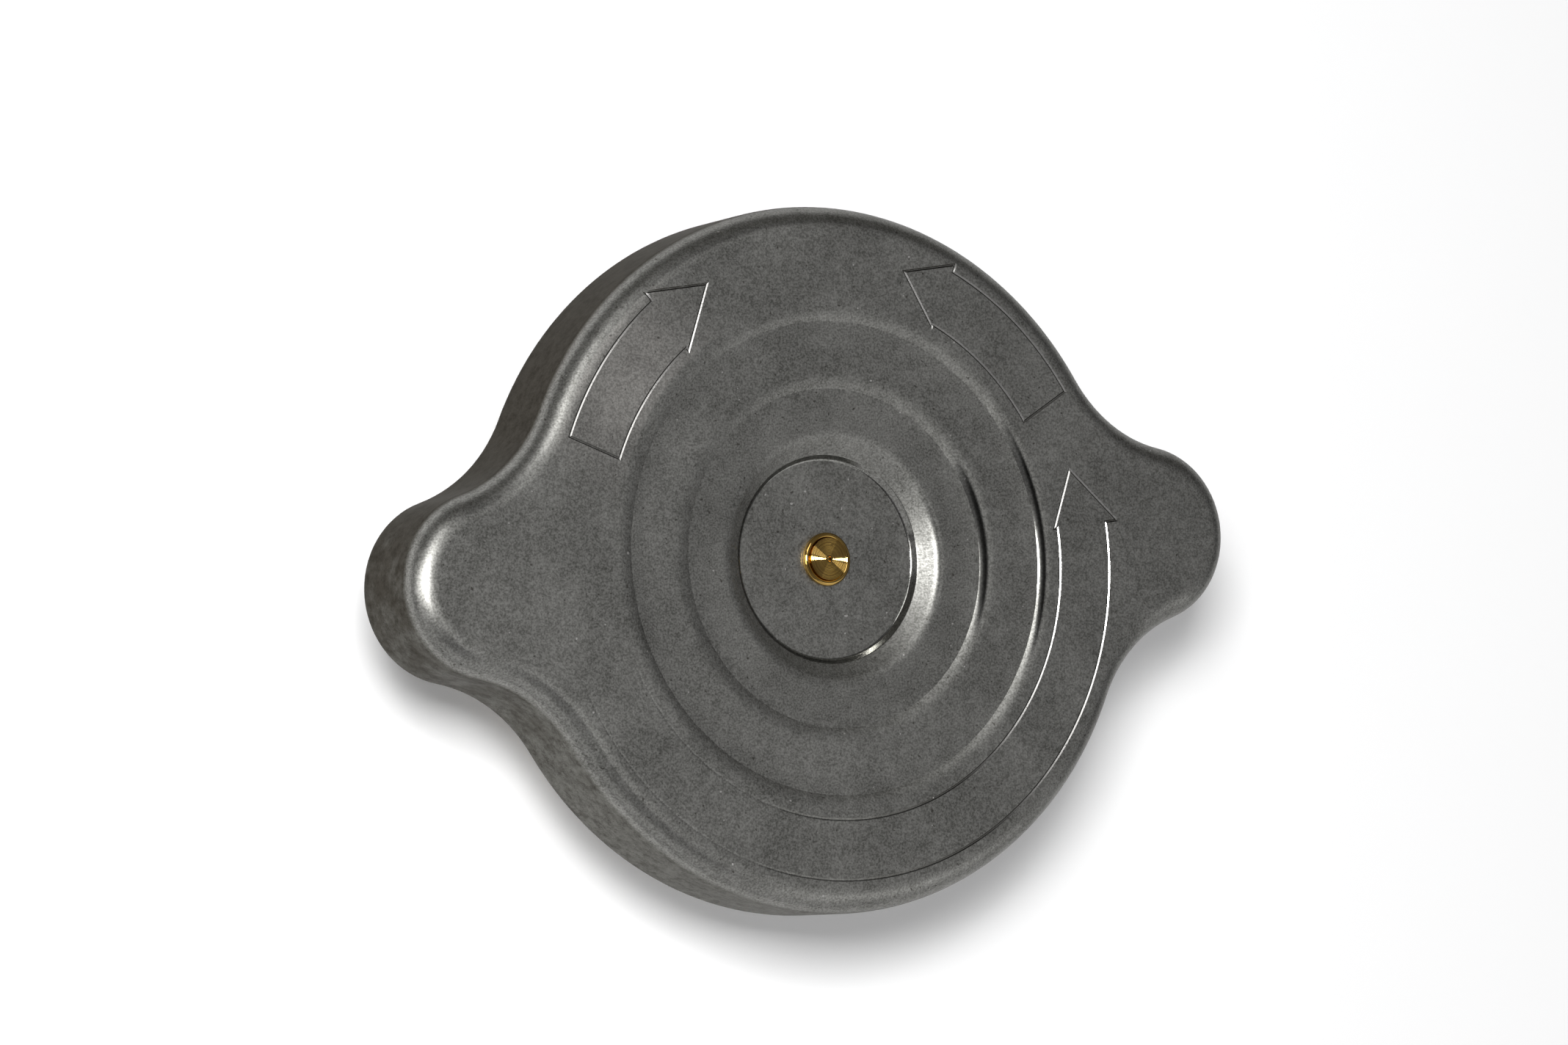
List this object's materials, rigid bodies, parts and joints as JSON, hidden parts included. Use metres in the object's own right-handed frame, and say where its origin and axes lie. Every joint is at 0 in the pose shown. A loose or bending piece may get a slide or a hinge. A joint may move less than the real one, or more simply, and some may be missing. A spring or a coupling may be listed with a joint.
{
  "type": "radiator cap",
  "caption": "Winged pressed-steel bayonet cap for a radiator filler neck, with a swivelling sprung plunger that holds a pressure valve and a vacuum valve.",
  "frame": {"origin": "centre of the lower seal's face, on which the cap stands", "axes": "+Z along the cap's axis, from the plunger to the cover's top face; +X towards one wing, +Y towards one locking tang"},
  "size_m": [0.0782, 0.058, 0.0254],
  "materials": {
    "cover_steel": "satin pressed steel",
    "zinc_steel": "zinc plated",
    "spring_steel": "bare spring steel",
    "brass": "turned",
    "rubber": "matte"
  },
  "bodies": {
    "cap": {"cover": "cover_steel", "locking_ring": "zinc_steel", "rivet": "brass", "swivel_washer": "zinc_steel", "rivet_washer": "zinc_steel"},
    "plunger": {"diaphragm": "spring_steel", "upper_seal": "rubber", "spring_bell": "zinc_steel", "main_spring": "spring_steel"},
    "pressure_valve": {"guide_cup": "zinc_steel", "valve_plate": "zinc_steel", "lower_seal": "rubber", "seal_retainer": "brass", "vacuum_spring": "spring_steel"},
    "vacuum_valve": {"vacuum_valve": "brass", "vacuum_spring_cap": "brass"}
  },
  "joints": [
    {"name": "plunger_swivel", "type": "hinge", "parent": "cap", "child": "plunger", "pos_m": [0, 0, 0.0205], "axis": [0, 0, 1], "continuous": true},
    {"name": "pressure_lift", "type": "slide", "parent": "plunger", "child": "pressure_valve", "axis": [0, 0, 1], "range_m": [0, 0.0035], "stiffness_N_per_m": 4000, "deforming": ["main_spring"]},
    {"name": "vacuum_drop", "type": "slide", "parent": "pressure_valve", "child": "vacuum_valve", "axis": [0, 0, -1], "range_m": [0, 0.002], "stiffness_N_per_m": 300, "deforming": ["vacuum_spring"]}
  ]
}
